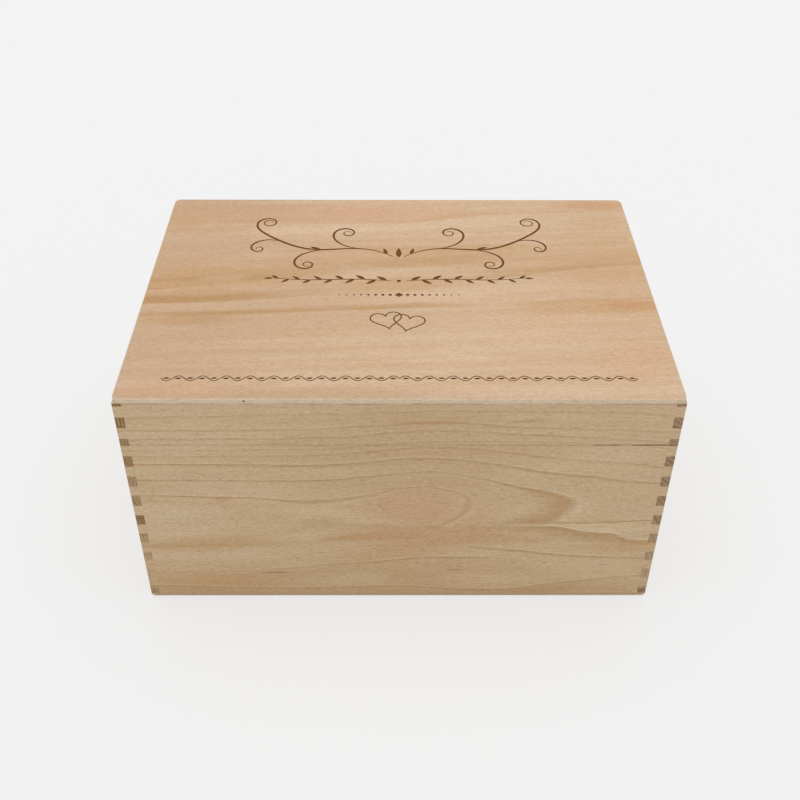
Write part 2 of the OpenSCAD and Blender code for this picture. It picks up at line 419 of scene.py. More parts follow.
class Board:
    """A beech board's material, built up in layers: plain wood, figure, cuts and lines.

    slope is how far the grain climbs along the board. grain is how far the fine fibre shows,
    and early_wood how far the pale wood beside a ring line does, against its dark late wood.
    """

    def __init__(self, name, axes, tones, slope=0.0, breadth=(1.0, 1.0, 1.0),
                 fineness=(1.3, 1.2, 1.2), grain=1.0, early_wood=0.45):
        self.material, self.w = new_material(name)
        self.tones = tones
        self.grain = grain
        self.early_wood = early_wood
        w = self.w
        coordinates = w.add("ShaderNodeTexCoord").outputs
        spot = w.parts(coordinates["Object"])
        facing = w.parts(coordinates["Normal"])
        along, across, through = axes
        leaning = w.calc("MULTIPLY_ADD", spot[along], -slope, spot[across])
        self.spot = coordinates["Object"]
        self.level = spot[Z]
        self.place = w.joined(spot[along], leaning, spot[through])
        self.along = spot[along]
        self.across = spot[across]
        self.cut = w.calc("ABSOLUTE", facing[along])
        self.facing = w.calc("ABSOLUTE", facing[through])
        self.flat = w.calc("ABSOLUTE", facing[Z])
        self.fibre = w.effect(FIBRE, place=self.place, breadth=breadth, fineness=fineness)
        self.colour = w.mix(self.fibre["deep"], tones["pale"], tones["deep"])
        self.tint(self.fibre["blush"], "blush")

    def tint(self, mask, tone):
        self.colour = self.w.mix(mask, self.colour, self.tones[tone])

    def drawn(self, value):
        """A socket that runs through the points of an Along or Across, or else the value itself."""
        if isinstance(value, Along):
            return self.profile(self.along, value.points)
        if isinstance(value, Across):
            return self.profile(self.across, value.points)
        return value

    def profile(self, place, points):
        """A smooth curve through the points, over the stretch that they span."""
        start, stop = points[0][0], points[-1][0]
        low = min(value for _, value in points)
        high = max(value for _, value in points)
        inputs = {"Value": place, "From Min": start * MM, "From Max": stop * MM}
        share = self.w.add("ShaderNodeMapRange", inputs).outputs[0]
        curve = self.w.add("ShaderNodeFloatCurve", {"Value": share})
        line = curve.mapping.curves[0]
        for i, (where, value) in enumerate(points):
            spot = ((where - start) / (stop - start), (value - low) / (high - low))
            if i == 0:
                line.points[0].location = spot
            elif i == len(points) - 1:
                line.points[-1].location = spot
            else:
                line.points.new(*spot)
        curve.mapping.update()
        return self.w.spread(curve.outputs[0], low, high)

    def times(self, mask, *strengths):
        """A mask times its strengths, drawn ones among them."""
        for strength in strengths:
            mask = self.w.calc("MULTIPLY", mask, self.drawn(strength))
        return mask

    def rings(self, *strengths, **growth):
        """Rings all over the board, and the pith that later arches lie round."""
        given = {"lower_share": 1.0, "ring_edge": 0.06, "ring_dusk": 5.0, "evenness": 0.1}
        given.update(growth)
        for name in ("pith_depth", "pith_rise", "ring_width", "wander"):
            given[name] = metres(given[name])
        drawn = {name: self.drawn(value) for name, value in given.items()}
        ring = self.w.effect(RINGS, place=self.place, **drawn)
        self.reach = ring["reach"]
        self.late_wood = ring["late_wood"]
        self.tint(self.times(self.late_wood, self.fibre["broken"], *strengths), "late")

    def ring(self, height, level, above, below, *strengths, tone="late", waver=0.0):
        """One ring line, at a level that may be drawn along the board."""
        line = self.w.effect(RING_LINE, place=self.place, height=height, level=self.drawn(metres(level)),
                             above=above * MM, below=below * MM, waver=waver * MM)
        self.tint(self.times(line["light"], self.early_wood, *strengths), "light")
        self.tint(self.times(line["dark"], self.fibre["broken"], *strengths), tone)

    def arch(self, radius, above, below, *strengths, tone="late"):
        """A ring line at one distance from the pith."""
        self.ring(self.reach, radius, above, below, *strengths, tone=tone)

    def line(self, points, above, below, *strengths, tone="late", waver=2.0):
        """A ring line through points along the board."""
        self.ring(self.across, Along(points), above, below, *strengths, tone=tone, waver=waver)

    def patch(self, tone, along, across, half_length, half_height, strength, lean=0.0):
        """A soft patch of one tone about a place on the board, which may climb along it."""
        side = self.w.calc("SUBTRACT", self.along, along * MM)
        up = self.w.calc("SUBTRACT", self.across, across * MM)
        mask = self.w.effect(PATCH, place=self.place, side=side, up=up, half_length=half_length * MM,
                             half_height=half_height * MM, lean=lean)["mask"]
        self.tint(self.times(mask, strength), tone)

    def patches(self, *rows):
        """Soft patches, one over the other, each given as for patch."""
        for row in rows:
            self.patch(*row)

    def edges(self):
        """The narrow faces and rounded edge of a panel in their own tone, on the lid partly a painted
        highlight.
        """
        edge = self.w.effect(SANDED_EDGE, facing=self.facing)
        self.tint(edge["rounding"], "edge")
        self.tint(edge["side"], "edge")

    def ends(self, thirst):
        """The ends of the board, cut across its length."""
        cut = self.w.effect(END_GRAIN, place=self.place, cut=self.cut, late_wood=self.late_wood,
                            thirst=self.drawn(thirst))
        self.tint(self.times(cut["mask"], cut["darkness"]), "end")

    def hairline(self, level, half_width, strength):
        """A dark line round the upright faces, at one height."""
        line = self.w.effect(HAIRLINE, place=self.place, height=self.level, level=level,
                             half_width=half_width * MM)
        self.tint(self.times(line["mask"], self.w.flip(self.flat), strength), "line")

    def sawn_rim(self):
        """The level edges of a wall: paler than its faces, with the marks of the saw across them."""
        edge = self.w.effect(SAWN_EDGE, place=self.place, flat=self.flat)
        self.tint(self.times(edge["rim"], 0.6), "light")
        self.tint(self.times(edge["marks"], 0.45), "dusk")

    def knot(self, place, radius):
        """A small round knot about a place on the surface, both in metres."""
        gap = self.w.add("ShaderNodeVectorMath", {0: self.spot, 1: place}, operation="DISTANCE")
        self.tint(self.w.flip(self.w.ease(gap.outputs["Value"], 0.5 * radius, radius)), "knot")

    def finished(self):
        """Flecks and fibre over all, and the shader."""
        w, fibre = self.w, self.fibre
        side = w.flip(self.cut)
        self.tint(self.times(fibre["ray_fleck"], side, 0.45 * self.grain), "fleck")
        self.tint(self.times(fibre["fibre_fleck"], side, 0.35 * self.grain), "fleck")
        colour = w.mix(self.grain, self.colour, fibre["shade"], "MULTIPLY")
        inputs = {"Base Color": colour, "Roughness": fibre["roughness"], "Specular IOR Level": 0.3}
        finish(w, inputs, fibre["height"], FIBRE_RELIEF)
        return self.material

    def finished_wall(self, seam, thirst=1.0):
        """A wall's sawn rim, end grain and two dark lines, then the shader.

        seam is how far the painted shade between lid and case shows, and thirst how dark the
        end grain is.
        """
        self.sawn_rim()
        self.ends(thirst)
        # Painted shade: a dark line in the seam between lid and case
        self.hairline(SEAM, SEAM_SHADE_LINE, seam)
        self.hairline(PANEL_SEAT, PANEL_SEAT_LINE, PANEL_SEAT_LINE_STRENGTH)
        return self.finished()


wall_tones = {
    "pale": srgb(206, 180, 145), "deep": srgb(200, 172, 135), "blush": srgb(206, 175, 142),
    "light": srgb(218, 195, 163), "late": srgb(180, 149, 105), "red": srgb(190, 150, 107),
    "pink": srgb(203, 166, 132), "ochre": srgb(196, 158, 111), "dusk": srgb(194, 163, 122),
    "fleck": srgb(158, 120, 80), "line": srgb(104, 78, 50), "end": srgb(124, 82, 14)}
right_tones = dict(wall_tones, end=srgb(132, 104, 74))
lid_tones = {
    "pale": srgb(213, 184, 153), "deep": srgb(205, 171, 136), "blush": srgb(213, 177, 144),
    "light": srgb(222, 193, 163), "late": srgb(186, 146, 98), "red": srgb(200, 150, 104),
    "pink": srgb(211, 168, 132), "ochre": srgb(199, 160, 116), "dusk": srgb(199, 166, 130),
    # The first tone on the next line is painted shade, for where the lid lies darker in the light
    "painted_shade": srgb(196, 162, 132), "fleck": srgb(172, 132, 92), "edge": srgb(214, 193, 167),
    "knot": srgb(60, 42, 26)}
base_tones = dict(lid_tones, edge=srgb(190, 161, 127))


def front_ground(board):
    """Soft patches that the front's rings run over; the broad one along the bottom is painted shade."""
    board.patches(
        # Painted shade: the wall darker towards the floor
        ("dusk", 0, 0, 260, 48, 0.8),
        ("pink", 14, 88, 52, 26, 0.85),
        ("ochre", 30, 62, 84, 17, 0.65),
        ("pink", 45, 20, 38, 24, 0.55),
        ("dusk", 12, 138, 80, 46, 0.45),
        ("ochre", -140, 12, 66, 15, 0.6),
        ("light", 130, 27, 60, 15, 0.35),
        ("light", 135, 68, 40, 7, 0.5, -0.05),
        ("light", 137, 134, 40, 8, 0.35),
        ("light", 68, 17, 45, 11, 0.4),
        ("light", -20, 71, 60, 9, 0.35),
        ("light", -110, 104, 70, 12, 0.3),
        ("light", -135, 147, 60, 26, 0.3),
        ("light", -130, 42, 60, 9, 0.3),
        ("light", -150, 75, 60, 22, 0.45),
        ("dusk", 10, 165, 60, 12, 0.4),
        ("ochre", 150, 50, 34, 8, 0.5),
        ("ochre", -6, 44, 44, 16, 0.4),
        ("light", -35, 17, 42, 9, 0.35),
        ("late", 84, 73, 30, 4, 0.45))


def front_arches(board):
    """The front's pith, its faint rings, and the two rings that close towards the right."""
    face = -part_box("front_wall")[0].y / MM
    depth = [(-175, 60.6), (-100, 61.4), (-60, 61.8), (-20, 61.4), (10, 60.5), (30, 61.2),
             (47, 62.0), (75, 64.5), (100, 65.7), (115, 66.3), (140, 67.2), (175, 69.0)]
    rise = [(-175, 86.8), (-100, 88.0), (-60, 88.2), (-20, 90.5), (10, 92.3), (30, 94.0),
            (47, 92.5), (175, 92.5)]
    lower_share = [(-175, 0.385), (-100, 0.34), (-60, 0.25), (-20, 0.35), (10, 0.53), (30, 0.42),
                   (47, 0.45), (100, 0.55), (175, 0.6)]
    board.rings(0.12, pith_depth=Along([(x, d + face) for x, d in depth]), pith_rise=Along(rise),
                lower_share=Along(lower_share), ring_width=1.4, first_ring=0.2, wander=1.2)
    board.arch(62.0, 0.12, 0.3,
               Along([(-175, 0.75), (-20, 0.6), (20, 0.45), (60, 0.45), (175, 0.25)]),
               Across([(0, 0.0), (56, 0.0), (80, 1.0), (180, 1.0)]))
    board.arch(66.3, 0.12, 0.7, 0.75, Across([(0, 0.0), (62, 0.0), (76, 1.0), (180, 1.0)]))
    board.arch(66.1, 0.2, 1.1,
               Along([(-175, 0.0), (66, 0.0), (95, 0.55), (120, 0.55), (175, 0.0)]),
               Across([(0, 0.0), (68, 0.0), (76, 1.0), (98, 1.0), (108, 0.0), (180, 0.0)]), tone="red")


def front_upper_lines(board):
    """Rings that run over the front's arches."""
    board.line([(-175, 126.5), (-100, 126.5), (-60, 126), (-35, 127), (-15, 129.5), (5, 131.5),
                (20, 132), (35, 131), (55, 128), (75, 124), (95, 120), (125, 116), (150, 112),
                (175, 110)], 0.6, 3.0, 0.65)
    board.line([(-175, 126.5), (-100, 126.5), (-60, 126), (175, 126)], 0.5, 1.6,
               Along([(-175, 1.0), (-120, 0.7), (-95, 0.0), (175, 0.0)]), tone="red")
    board.line([(-175, 133.5), (-60, 134.5), (-25, 137), (0, 140), (20, 141.5), (45, 140), (75, 136),
                (110, 131), (150, 127), (175, 123)], 0.6, 2.4, 0.4)
    board.line([(-175, 148), (-50, 149), (-25, 151), (0, 154), (25, 155), (50, 154), (75, 152),
                (110, 150), (150, 147), (175, 145)], 0.6, 2.2, 0.5)
    board.line([(-175, 155), (-60, 156), (-30, 158), (0, 160), (20, 162), (50, 160), (75, 158),
                (125, 156), (175, 154)], 0.6, 2.2, 0.45)
    board.line([(-175, 138.5), (-50, 139.5), (0, 145), (60, 146), (175, 136)], 0.6, 1.5, 0.35)
    board.line([(-175, 165), (0, 170), (40, 171), (175, 164)], 0.6, 2.4, 0.3)


def front_wedge(board):
    """Dark edges of a pale wedge that opens towards the front's right end."""
    board.line([(60, 72), (87, 72.5), (104, 73.6), (118, 73), (135, 73.8), (150, 74.8), (175, 76)],
               1.6, 0.5, Along([(60, 0.0), (85, 0.4), (120, 1.0), (175, 1.0)]))
    wedge = [(40, 70), (95, 70.4), (106, 69.8), (114, 67.8), (125, 64.8), (136, 63.6), (145, 63),
             (149, 60.2), (157, 57.6), (175, 57)]
    board.line(wedge, 0.7, 7.0,
               Along([(40, 0.0), (80, 0.5), (100, 0.9), (150, 1.0), (175, 0.8)]), tone="ochre")
    board.line(wedge, 0.6, 4.5,
               Along([(40, 0.0), (75, 0.3), (95, 0.8), (150, 0.9), (175, 0.4)]), waver=4.0)
    board.patches(
        ("red", 90, 77, 18, 4, 0.5),
        ("late", 124, 60, 48, 5.5, 0.5, -0.17))


def front_lower_lines(board):
    """Rings that run under the front's arches."""
    board.line([(45, 52), (70, 48.5), (90, 46), (110, 43), (130, 41.5), (175, 40)], 0.6, 3.0,
               Along([(45, 0.0), (60, 0.8), (175, 0.8)]))
    board.line([(-175, 26), (-100, 27.5), (-75, 30), (-50, 33), (-25, 35), (5, 39), (20, 40.5),
                (60, 40.5), (175, 30)], 0.6, 2.6,
               Along([(-175, 0.4), (-50, 0.45), (0, 0.8), (50, 0.8), (70, 0.0), (175, 0.0)]))
    board.line([(-175, 50), (-100, 51.5), (-50, 55), (-20, 61), (20, 66), (60, 64), (175, 40)], 4.0, 0.7,
               Along([(-175, 0.5), (-125, 0.6), (-90, 0.3), (-50, 0.15), (-20, 0.15), (30, 0.1),
                      (60, 0.0), (175, 0.0)]))
    board.line([(-175, 12), (-60, 9), (0, 11), (60, 7), (100, 12.5), (150, 20), (175, 23)],
               0.6, 2.5, 0.7)


def front_flares(board):
    """Small warm patches and dark flecks that lie over the front's rings."""
    board.patches(
        ("ochre", -126, 54.5, 58, 9.0, 0.65, 0.06),
        ("red", -16, 63, 46, 9.0, 0.5, 0.12),
        ("red", -34, 60, 26, 3.0, 0.35, 0.12),
        ("red", 95, 6, 34, 5.0, 0.5, 0.08),
        ("end", -87, 25.0, 16, 1.2, 0.5),
        ("end", 38, 27.5, 7, 1.0, 0.5),
        ("red", 80, 163, 16, 1.6, 0.6, 0.1),
        ("red", 18, 161, 30, 2.4, 0.8),
        ("red", -115, 96, 7, 3.5, 0.6))


def front_board():
    """Crown-cut: two rings close in arches towards the right, the others run over and under them."""
    board = Board("front_beech", LONG_BOARD, wall_tones)
    front_ground(board)
    front_arches(board)
    front_upper_lines(board)
    front_wedge(board)
    front_lower_lines(board)
    front_flares(board)
    # The painted shade in the seam between lid and case is strongest towards the right end
    return board.finished_wall(
        seam=Along([(-175, 0.1), (0, 0.15), (60, 0.3), (108, 0.5), (120, 2.5), (175, 2.5)]))


def back_board():
    """Crown-cut: nested arches that close towards the left, seen from the front."""
    board = Board("back_beech", LONG_BOARD, wall_tones)
    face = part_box("back_wall")[1].y / MM
    depth = [(-175, 73), (-110, 68), (-50, 63.5), (10, 59), (70, 56), (175, 51)]
    rise = [(-175, 74), (-60, 80), (40, 86), (175, 84)]
    board.patches(
        # Painted shade: the wall darker towards the floor
        ("dusk", 0, 0, 260, 40, 0.6),
        ("pink", 60, 84, 90, 24, 0.6),
        ("ochre", -60, 80, 80, 20, 0.5),
        ("pink", -120, 140, 60, 16, 0.5),
        ("ochre", 110, 150, 60, 12, 0.4),
        ("light", 20, 118, 110, 10, 0.6))
    board.rings(0.3, pith_depth=Along([(x, -d - face) for x, d in depth]), pith_rise=Along(rise),
                lower_share=0.6, ring_width=1.6, first_ring=0.4, wander=1.6)
    for radius in (55.5, 58.5, 62.5, 67, 73, 80.5, 90, 101, 114):
        board.arch(radius, 0.15, 0.02 * radius - 0.5, 0.75)
    return board.finished_wall(seam=0.5)


def left_board():
    """Rift-cut: narrow rings that climb a little towards the back."""
    board = Board("left_beech", SIDE_BOARD, wall_tones)
    board.rings(0.7, pith_depth=240,
                pith_rise=Across([(0, 20), (50, 50), (105, 55), (135, 125), (180, 170)]),
                ring_width=2.1, first_ring=0.1, wander=4.0, ring_edge=0.3, ring_dusk=2.0, evenness=0.5)
    board.patches(
        ("pink", 30, 96, 70, 26, 0.5),
        ("ochre", -50, 58, 60, 12, 0.5, 0.04),
        ("light", 10, 124, 90, 8, 0.6, -0.03),
        # Painted shade: the wall darker towards the floor
        ("dusk", 0, 6, 160, 26, 0.7),
        ("red", 60, 40, 40, 5, 0.5, 0.05))
    for level, climb, strength in ((11, 2, 0.5), (17, 2, 0.35), (36, 3, 0.6), (44, 4, 0.75),
                                   (63, 5, 0.6), (73, 6, 0.8), (79, 6, 0.5), (101, 5, 0.75),
                                   (117, 4, 0.6), (123, 3, 0.45), (152, 2, 0.6), (158, 1, 0.4)):
        climbing = [(-125, level), (-50, level + 0.4 * climb), (20, level + 1.1 * climb),
                    (125, level + 1.6 * climb)]
        board.line(climbing, 0.7, 2.0 + 0.15 * climb, strength)
    return board.finished_wall(
        seam=0.5,
        thirst=Across([(0, 0.8), (8, 0.65), (14, 0.2), (26, 0.2), (42, 0.4), (60, 0.55), (77, 1.0),
                       (95, 0.75), (112, 0.75), (129, 0.92), (146, 0.8), (162, 1.05), (180, 1.1)]))


def right_board():
    """Crown-cut: nested arches that close towards the back, where the pith lies deeper."""
    board = Board("right_beech", SIDE_BOARD, right_tones)
    board.rings(0.6, pith_depth=Along([(-125, -100), (-20, -98.5), (60, -96), (125, -93)]), pith_rise=30,
                ring_width=3.4, first_ring=0.6, wander=6.0, ring_edge=0.25, ring_dusk=2.0, evenness=0.4)
    for radius in (76, 78.5, 82, 87, 93, 100, 108, 117, 127, 139, 152, 165):
        board.arch(radius, 0.2, 0.012 * radius - 0.3, 0.65)
    board.patches(
        ("pink", -40, 72, 60, 30, 0.5),
        ("ochre", 55, 108, 70, 12, 0.5, -0.04),
        ("light", -20, 50, 80, 8, 0.6, 0.03),
        # Painted shade: the wall darker towards the floor
        ("dusk", 0, 4, 160, 24, 0.7),
        ("red", -60, 134, 36, 5, 0.5, 0.05))
    return board.finished_wall(
        seam=0.7,
        thirst=Across([(0, 0.8), (4, 0.9), (6, 1.4), (8.5, 0.75), (11, 0.5), (16, 0.65), (24, 0.65),
                       (42, 0.75), (60, 0.85), (77, 1.0), (171, 1.1), (180, 1.3)]))


def lid_ground(board):
    """Soft patches that the lid's bands run over, and painted shade over its left, back left and front
    edge.
    """
    board.patches(
        # Painted shade: the lid darker towards its left and along its front edge
        ("painted_shade", -190, 0, 170, 190, 0.7),
        ("painted_shade", -50, -122, 200, 10, 0.7),
        ("pink", -50, 102, 120, 17, 0.8),
        ("red", 150, 116, 40, 10, 0.6),
        ("ochre", 155, 88, 32, 16, 0.4),
        ("ochre", 5, 41, 115, 22, 0.55, 0.06),
        ("ochre", 60, 49, 75, 9, 0.5, 0.03),
        ("ochre", 88, 26, 70, 12, 0.5, 0.03),
        ("light", 70, -118, 80, 8, 0.4),
        ("ochre", 0, 4, 70, 12, 0.55, 0.06),
        # Painted shade: the lid darker at its back left
        ("painted_shade", -130, 108, 90, 26, 0.55),
        ("dusk", -60, -38, 130, 32, 0.5),
        ("ochre", -145, 10, 70, 30, 0.8, 0.1),
        ("ochre", -158, 85, 18, 9, 0.8),
        ("ochre", -150, 104, 60, 20, 0.45),
        ("ochre", 20, 29, 55, 8, 0.4, 0.06),
        ("light", -60, 77, 90, 10, 0.6, 0.05),
        ("light", 60, 90, 60, 9, 0.5, 0.1),
        ("ochre", 150, 30, 60, 48, 0.5),
        ("ochre", -80, 14, 50, 20, 0.6, 0.1),
        ("light", 70, -66, 95, 24, 0.3),
        ("light", 30, -12, 60, 8, 0.5, 0.1),
        ("pink", 150, -85, 34, 28, 0.4),
        ("pink", -140, -114, 48, 10, 0.4))


def lid_bands(board):
    """Broad bands that climb to the right, each sharp towards the front."""
    streaks = board.fibre["streaks"]
    board.line([(-175, -3), (-150, 0.5), (-125, 4), (-100, 8), (-75, 12), (-50, 16.5), (-25, 20),
                (0, 23.5), (25, 27), (50, 31), (175, 43)], 18.0, 3.0,
               Along([(-175, 1.0), (-110, 0.8), (-60, 0.5), (0, 0.45), (50, 0.3), (90, 0.0),
                      (175, 0.0)]), streaks)
    board.line([(-175, -20), (-150, -19), (-125, -17.5), (-100, -15), (-75, -12.5), (-50, -9),
                (175, 19)], 13.0, 3.0,
               Along([(-175, 1.0), (-110, 0.8), (-60, 0.3), (-20, 0.0), (175, 0.0)]), streaks)
    board.line([(-175, -36), (-150, -35.5), (-125, -34.5), (-100, -33), (-75, -31), (-50, -29),
                (-25, -28), (0, -26), (25, -25), (50, -26), (75, -25), (100, -22.5), (125, -18.5),
                (150, -16), (175, -14)], 6.0, 2.5,
               Along([(-175, 0.5), (-130, 0.75), (-60, 0.55), (0, 0.7), (60, 0.45), (120, 0.65),
                      (175, 0.6)]), streaks)
    board.line([(-175, -10), (25, 8), (60, 11), (90, 15), (110, 20), (130, 24), (150, 28), (175, 30)],
               13.0, 1.8,
               Along([(-175, 0.0), (20, 0.0), (70, 0.3), (120, 0.45), (175, 0.45)]), streaks)
    board.line([(-175, 88), (0, 88), (25, 92), (50, 97), (75, 102), (100, 105), (175, 112)], 10.0, 2.0,
               Along([(-175, 0.15), (-60, 0.3), (0, 0.35), (60, 0.3), (100, 0.15), (175, 0.0)]),
               tone="red")


def lid_flares(board):
    """Smaller patches that lie over the lid's bands."""
    board.patches(
        ("late", -138, -41, 32, 9, 0.55, 0.08),
        ("light", -122, 10, 24, 5, 0.3, 0.1),
        ("ochre", -163, 2, 20, 7, 0.5, 0.1),
        ("ochre", -145, -7.5, 45, 4, 0.6, 0.08),
        ("ochre", -162, -42, 22, 7, 0.5),
        ("ochre", 150, 57, 36, 6, 0.5),
        ("ochre", -135, 77, 50, 9, 0.45),
        ("ochre", -40, 50, 80, 8, 0.35),
        ("light", 32, -84, 40, 8, 0.4),
        ("ochre", 112, -26, 46, 10, 0.6, 0.05),
        ("ochre", 150, -27, 40, 13, 0.75),
        ("red", 156, -23, 24, 8, 0.75))


def lid_board():
    """Flat-cut panel with broad ochre bands, finer and fainter in its fibre than the walls."""
    board = Board("lid_beech", PANEL, lid_tones, slope=0.06, breadth=(1.05, 1.25, 1.25),
                  fineness=(1.4, 1.35, 1.35), grain=0.85, early_wood=0.15)
    lid_ground(board)
    lid_bands(board)
    lid_flares(board)
    # Painted highlight: the rounded edge tinted paler, partly its own sanded tone
    board.edges()
    front_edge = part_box("lid_top_panel")[0].y
    board.knot((KNOT_ALONG * MM, front_edge, PANEL_SEAT + KNOT_RISE * MM), KNOT_R * MM)
    return board.finished()


def base_board():
    """Plain panel with a few wide, wandering rings."""
    board = Board("base_beech", PANEL, base_tones)
    board.rings(0.6, pith_depth=120, pith_rise=30, ring_width=8.5, first_ring=0.7, wander=16,
                ring_edge=0.3, ring_dusk=2.0)
    board.edges()
    return board.finished()


def burnt_grooves():
    """Charred wood on the floors and walls of the engraving."""
    material, w = new_material("burnt_engraving")
    place = w.add("ShaderNodeTexCoord").outputs["Object"]
    grain = w.noise(place, (60.0, 900.0, 400.0), 3.0)[0]
    char = w.noise(place, (500.0, 500.0, 500.0), 2.0)[0]
    heat = w.calc("MULTIPLY_ADD", char, 0.6, w.spread(grain, -0.1, 0.5))
    colour = w.mix(heat, srgb(94, 56, 14), srgb(140, 94, 44))
    roughness = w.spread(grain, 0.65, 0.85)
    inputs = {"Base Color": colour, "Roughness": roughness, "Specular IOR Level": 0.1}
    finish(w, inputs, char, CHAR_RELIEF)
    return material


front_beech = front_board()
back_beech = back_board()
left_beech = left_board()
right_beech = right_board()
lid_beech = lid_board()
base_beech = base_board()
burnt_engraving = burnt_grooves()


# Metal

def hinge_metal(name, bright, dull, plain_roughness, brush):
    """Metal of one kind of piece in the hinges, dulled in places.

    brush is how many scratches to the metre cross each axis.
    """
    material, w = new_material(name)
    place = w.add("ShaderNodeTexCoord").outputs["Object"]
    metal = w.effect(BRUSHED_METAL, place=place, brush=brush, plain_roughness=plain_roughness)
    colour = w.mix(metal["dulled"], bright, dull)
    inputs = {"Base Color": colour, "Roughness": metal["roughness"], "Metallic": 1.0}
    finish(w, inputs, metal["height"], BRUSH_RELIEF)
    return material


leaf_brass = hinge_metal(
    "rolled_brass", srgb(214, 178, 104), srgb(176, 134, 70), 0.26, (80.0, 4000.0, 4000.0))
worn_brass = hinge_metal(
    "worn_brass_edge", srgb(236, 206, 140), srgb(214, 178, 104), 0.18, (80.0, 4000.0, 4000.0))
screw_brass = hinge_metal(
    "turned_brass", srgb(196, 156, 84), srgb(152, 112, 56), 0.24, (1500.0, 1500.0, 1500.0))
pin_steel = hinge_metal(
    "drawn_steel", srgb(178, 174, 168), srgb(138, 132, 126), 0.28, (60.0, 5000.0, 5000.0))


# Engraved ornaments, in mm on the lid, with its middle at the origin and the back at +y

def pen_stroke(start, heading, length, bends, step=0.7):
    """Points of a stroke whose bend, in 1/mm, runs evenly through the values in bends."""
    count = math.ceil(length / step)
    span = length / count
    x, y = start
    turn = math.radians(heading)
    points = [(x, y)]
    for i in range(count):
        place = (i + 0.5) / count * (len(bends) - 1)
        k = min(int(place), len(bends) - 2)
        turn += (bends[k] + (bends[k + 1] - bends[k]) * (place - k)) * span
        x += math.cos(turn) * span
        y += math.sin(turn) * span
        points.append((x, y))
    return points


def branch(stroke, share, length, bends):
    """A stroke that leaves another one smoothly, at a share of its length."""
    i = int(share * (len(stroke) - 2))
    (ax, ay), (bx, by) = stroke[i], stroke[i + 1]
    return pen_stroke((ax, ay), math.degrees(math.atan2(by - ay, bx - ax)), length, bends)


def ribbon(points, middle, end):
    """Outline of a stroke that swells from its ends to its middle."""
    left, right = [], []
    last = len(points) - 1
    for i, (x, y) in enumerate(points):
        ax, ay = points[max(i - 1, 0)]
        bx, by = points[min(i + 1, last)]
        half = (end + (middle - end) * math.sin(math.pi * i / last)) / 2
        side = Vector((ay - by, bx - ax)).normalized() * half
        left.append((x + side.x, y + side.y))
        right.append((x - side.x, y - side.y))
    return right + left[::-1]


def leaf(base, heading, length, width, count=8):
    """Outline of a pointed leaf, widest before its middle."""
    turn = math.radians(heading)
    forward = Vector((math.cos(turn), math.sin(turn)))
    side = Vector((-forward.y, forward.x))
    left, right = [], []
    for i in range(count + 1):
        share = i / count
        half = width / 2 * math.sin(math.pi * share ** 0.8)
        spot = Vector(base) + forward * length * share
        right.append(tuple(spot - side * half))
        if 0 < i < count:
            left.append(tuple(spot + side * half))
    return right + left[::-1]


def dot(centre, radius, count=14):
    turns = [2 * math.pi * i / count for i in range(count)]
    return [(centre[0] + radius * math.cos(t), centre[1] + radius * math.sin(t)) for t in turns]


def mirrored(outlines):
    return outlines + [[(-x, y) for x, y in outline][::-1] for outline in outlines]


def scrolls():
    """Scrolled flourish across the upper half of the lid."""
    main = pen_stroke(start=(4, 39), heading=40, length=168,
                      bends=[-0.012, -0.03, -0.004, 0.03, 0.01, 0.008, 0.11, 0.20, 0.30])
    upper = branch(main, share=0.15, length=76, bends=[0.02, 0.04, 0.055, 0.10, 0.15, 0.26, 0.40])
    lower = branch(main, share=0.30, length=70, bends=[-0.02, -0.03, -0.06, -0.10, -0.16, -0.28, -0.42])
    outer = branch(main, share=0.52, length=52, bends=[-0.05, -0.06, -0.08, -0.14, -0.30, -0.5])
    half = [ribbon(main, middle=2.0, end=0.6)]
    half += [ribbon(stroke, middle=1.7, end=0.5) for stroke in (upper, lower)]
    half += [ribbon(outer, middle=1.5, end=0.5)]
    half += [leaf((57, 49), heading=24, length=9, width=2.6)]
    half += [leaf((8.5, 42), heading=74, length=9, width=2.8)]
    return mirrored(half) + [leaf((0, 38), heading=90, length=13, width=4.2)]


def sprigs():
    """Two leafy twigs that meet at a berry."""
    level = 6.6
    leaves = 11
    longest = 9.5
    shrink = 3.0
    slender = 0.34
    spread_angle = 38
    stem = pen_stroke(start=(5, level), heading=8, length=84,
                      bends=[0.0, -0.008, -0.004, 0.004, 0.008, 0.0])
    half = [ribbon(stem, middle=0.9, end=0.5), leaf(stem[-1], heading=-4, length=6.5, width=2.2)]
    for i in range(leaves):
        share = (i + 0.5) / leaves
        base = stem[int(share * (len(stem) - 1))]
        length = longest - shrink * share
        side = 1 if i % 2 == 0 else -1
        half.append(leaf(base, heading=side * spread_angle, length=length, width=length * slender))
    return mirrored(half) + [dot((0, level), radius=1.5)]


def beads():
    """Row of beads that shrink away from a lozenge."""
    level = -11
    count = 8
    first = 6.0
    pitch = 5.0
    first_r = 1.25
    shrink = 0.09
    half_width = 3.2
    half_height = 2.6
    half = [dot((first + pitch * i, level), radius=first_r - shrink * i) for i in range(count)]
    lozenge = [(0, level - half_height), (half_width, level), (0, level + half_height),
               (-half_width, level)]
    return mirrored(half) + [lozenge]


def heart_side(side, centre, width, tilt, count=40):
    """One half of a heart's line, from the notch to the tip, by the usual curve, 32 units wide."""
    points = []
    turn = Matrix.Rotation(math.radians(tilt), 2)
    for i in range(count + 1):
        t = math.pi * i / count
        across = 16 * side * math.sin(t) ** 3
        up = 13 * math.cos(t) - 5 * math.cos(2 * t) - 2 * math.cos(3 * t) - math.cos(4 * t)
        points.append(tuple(Vector(centre) + turn @ Vector((across, up)) * width / 32))
    return points


